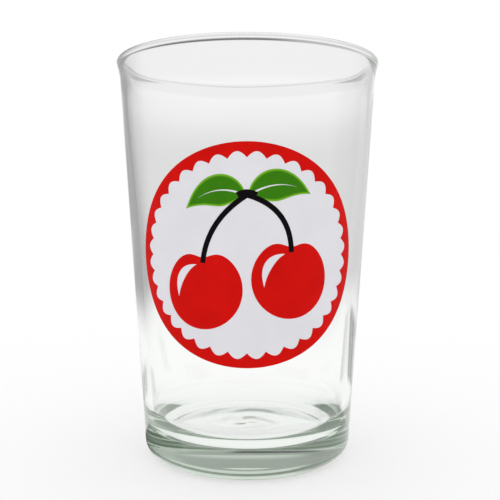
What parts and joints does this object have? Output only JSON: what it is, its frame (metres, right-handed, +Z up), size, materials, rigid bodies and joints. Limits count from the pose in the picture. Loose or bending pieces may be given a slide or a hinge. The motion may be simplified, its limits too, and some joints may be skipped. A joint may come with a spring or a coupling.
{
  "type": "juice glass",
  "caption": "Straight-sided tapered tumbler with a thick rounded foot and a beaded rim, and a round enamel medallion of cherries fired on its front.",
  "frame": {"origin": "centre of the foot, on the surface that the glass stands on", "axes": "+Z up the glass's axis to the rim; the medallion on the front faces -Y; +X to the right seen from the front"},
  "size_m": [0.0714, 0.0714, 0.108],
  "materials": {
    "clear_glass": "clear soda-lime glass with a faint grey-green tint, fire-polished",
    "white_enamel": "opaque white enamel, fired on, satin gloss",
    "red_enamel": "opaque red enamel, fired on, satin gloss",
    "green_enamel": "opaque leaf-green enamel, fired on, satin gloss",
    "black_enamel": "opaque black enamel, fired on, satin gloss"
  },
  "bodies": {
    "root": {"glass": "clear_glass", "white_ground": "white_enamel", "red_border": "red_enamel", "cherries": "red_enamel", "cherry_shines": "white_enamel", "leaves": "green_enamel", "stems": "black_enamel"}
  },
  "joints": []
}
